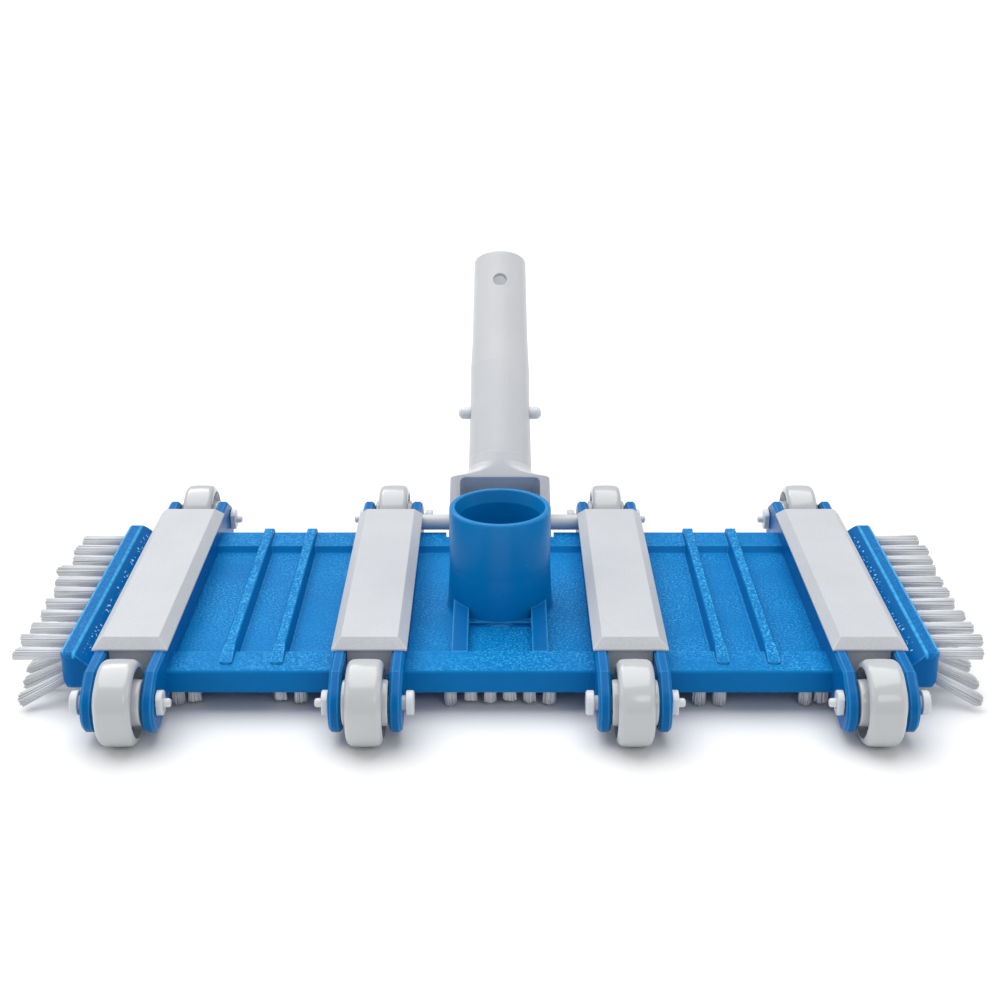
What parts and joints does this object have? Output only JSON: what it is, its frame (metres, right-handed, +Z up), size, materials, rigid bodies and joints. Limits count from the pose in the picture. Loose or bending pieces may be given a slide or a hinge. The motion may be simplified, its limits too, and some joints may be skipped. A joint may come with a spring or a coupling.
{
  "type": "manual pool vacuum head",
  "caption": "Flexible weighted pool vacuum head on small wheels, with a fixed hose port, side and under-deck brushes, and a push-in pole handle that swings.",
  "frame": {"origin": "bottom centre of the bounding box, on the floor that the wheels stand on", "axes": "+X to the right along the deck, +Y to the rear where the handle is, +Z up"},
  "size_m": [0.361, 0.2642, 0.1243],
  "materials": {
    "deck_blue": "fine moulded grain",
    "port_blue": "smooth, satin gloss",
    "weight_white": "smooth satin",
    "core_iron": "plain bar",
    "screw_steel": "pan head",
    "wheel_white": "polished",
    "pin_white": "smooth",
    "handle_white": "smooth satin",
    "rod_white": "smooth",
    "clip_white": "smooth, slightly translucent",
    "bristle_white": "nylon tufts"
  },
  "bodies": {
    "deck": {"axle_pin_front_left_inner": "pin_white", "axle_pin_front_left_outer": "pin_white", "axle_pin_front_right_inner": "pin_white", "axle_pin_front_right_outer": "pin_white", "axle_pin_rear_left_inner": "pin_white", "axle_pin_rear_left_outer": "pin_white", "axle_pin_rear_right_inner": "pin_white", "axle_pin_rear_right_outer": "pin_white", "axle_retainer_front_left_inner": "pin_white", "axle_retainer_front_left_outer": "pin_white", "axle_retainer_front_right_inner": "pin_white", "axle_retainer_front_right_outer": "pin_white", "axle_retainer_rear_left_inner": "pin_white", "axle_retainer_rear_left_outer": "pin_white", "axle_retainer_rear_right_inner": "pin_white", "axle_retainer_rear_right_outer": "pin_white", "channel_walls_left_inner": "deck_blue", "channel_walls_left_outer": "deck_blue", "channel_walls_right_inner": "deck_blue", "channel_walls_right_outer": "deck_blue", "deck": "deck_blue", "handle_pivot_rod": "rod_white", "hose_port": "port_blue", "port_gussets": "port_blue", "side_bristles_lower_left": "bristle_white", "side_bristles_lower_right": "bristle_white", "side_bristles_upper_left": "bristle_white", "side_bristles_upper_right": "bristle_white", "under_bristles_front": "bristle_white", "under_bristles_rear": "bristle_white", "weight_core_left_inner": "core_iron", "weight_core_left_outer": "core_iron", "weight_core_right_inner": "core_iron", "weight_core_right_outer": "core_iron", "weight_cover_left_inner": "weight_white", "weight_cover_left_outer": "weight_white", "weight_cover_right_inner": "weight_white", "weight_cover_right_outer": "weight_white", "weight_screws": "screw_steel"},
    "handle": {"handle": "handle_white", "pole_clip_bend": "clip_white"},
    "button_left": {"pole_clip_button_left": "clip_white"},
    "button_right": {"pole_clip_button_right": "clip_white"},
    "wheel_front_left_inner": {"wheel_front_left_inner": "wheel_white"},
    "wheel_front_left_outer": {"wheel_front_left_outer": "wheel_white"},
    "wheel_front_right_inner": {"wheel_front_right_inner": "wheel_white"},
    "wheel_front_right_outer": {"wheel_front_right_outer": "wheel_white"},
    "wheel_rear_left_inner": {"wheel_rear_left_inner": "wheel_white"},
    "wheel_rear_left_outer": {"wheel_rear_left_outer": "wheel_white"},
    "wheel_rear_right_inner": {"wheel_rear_right_inner": "wheel_white"},
    "wheel_rear_right_outer": {"wheel_rear_right_outer": "wheel_white"}
  },
  "joints": [
    {"name": "handle_swing", "type": "hinge", "parent": "deck", "child": "handle", "pos_m": [0, 0.03513, 0.0215], "axis": [1, 0, 0], "range_deg": [0, 76]},
    {"name": "button_left_press", "type": "hinge", "parent": "handle", "child": "button_left", "pos_m": [-0.0086, 0.10197, 0.09317], "axis": [0, -0.7314, 0.682], "range_deg": [0, 6.3], "stiffness_Nm_per_rad": 3},
    {"name": "button_right_press", "type": "hinge", "parent": "handle", "child": "button_right", "pos_m": [0.0086, 0.10197, 0.09317], "axis": [0, 0.7314, -0.682], "range_deg": [0, 6.3], "stiffness_Nm_per_rad": 3},
    {"name": "wheel_front_left_inner_roll", "type": "hinge", "parent": "deck", "child": "wheel_front_left_inner", "pos_m": [-0.0476, -0.11662, 0.0155], "axis": [1, 0, 0], "continuous": true},
    {"name": "wheel_front_left_outer_roll", "type": "hinge", "parent": "deck", "child": "wheel_front_left_outer", "pos_m": [-0.1346, -0.11662, 0.0155], "axis": [1, 0, 0], "continuous": true},
    {"name": "wheel_front_right_inner_roll", "type": "hinge", "parent": "deck", "child": "wheel_front_right_inner", "pos_m": [0.0476, -0.11662, 0.0155], "axis": [1, 0, 0], "continuous": true},
    {"name": "wheel_front_right_outer_roll", "type": "hinge", "parent": "deck", "child": "wheel_front_right_outer", "pos_m": [0.1346, -0.11662, 0.0155], "axis": [1, 0, 0], "continuous": true},
    {"name": "wheel_rear_left_inner_roll", "type": "hinge", "parent": "deck", "child": "wheel_rear_left_inner", "pos_m": [-0.0476, 0.05288, 0.0155], "axis": [1, 0, 0], "continuous": true},
    {"name": "wheel_rear_left_outer_roll", "type": "hinge", "parent": "deck", "child": "wheel_rear_left_outer", "pos_m": [-0.1346, 0.05288, 0.0155], "axis": [1, 0, 0], "continuous": true},
    {"name": "wheel_rear_right_inner_roll", "type": "hinge", "parent": "deck", "child": "wheel_rear_right_inner", "pos_m": [0.0476, 0.05288, 0.0155], "axis": [1, 0, 0], "continuous": true},
    {"name": "wheel_rear_right_outer_roll", "type": "hinge", "parent": "deck", "child": "wheel_rear_right_outer", "pos_m": [0.1346, 0.05288, 0.0155], "axis": [1, 0, 0], "continuous": true}
  ]
}
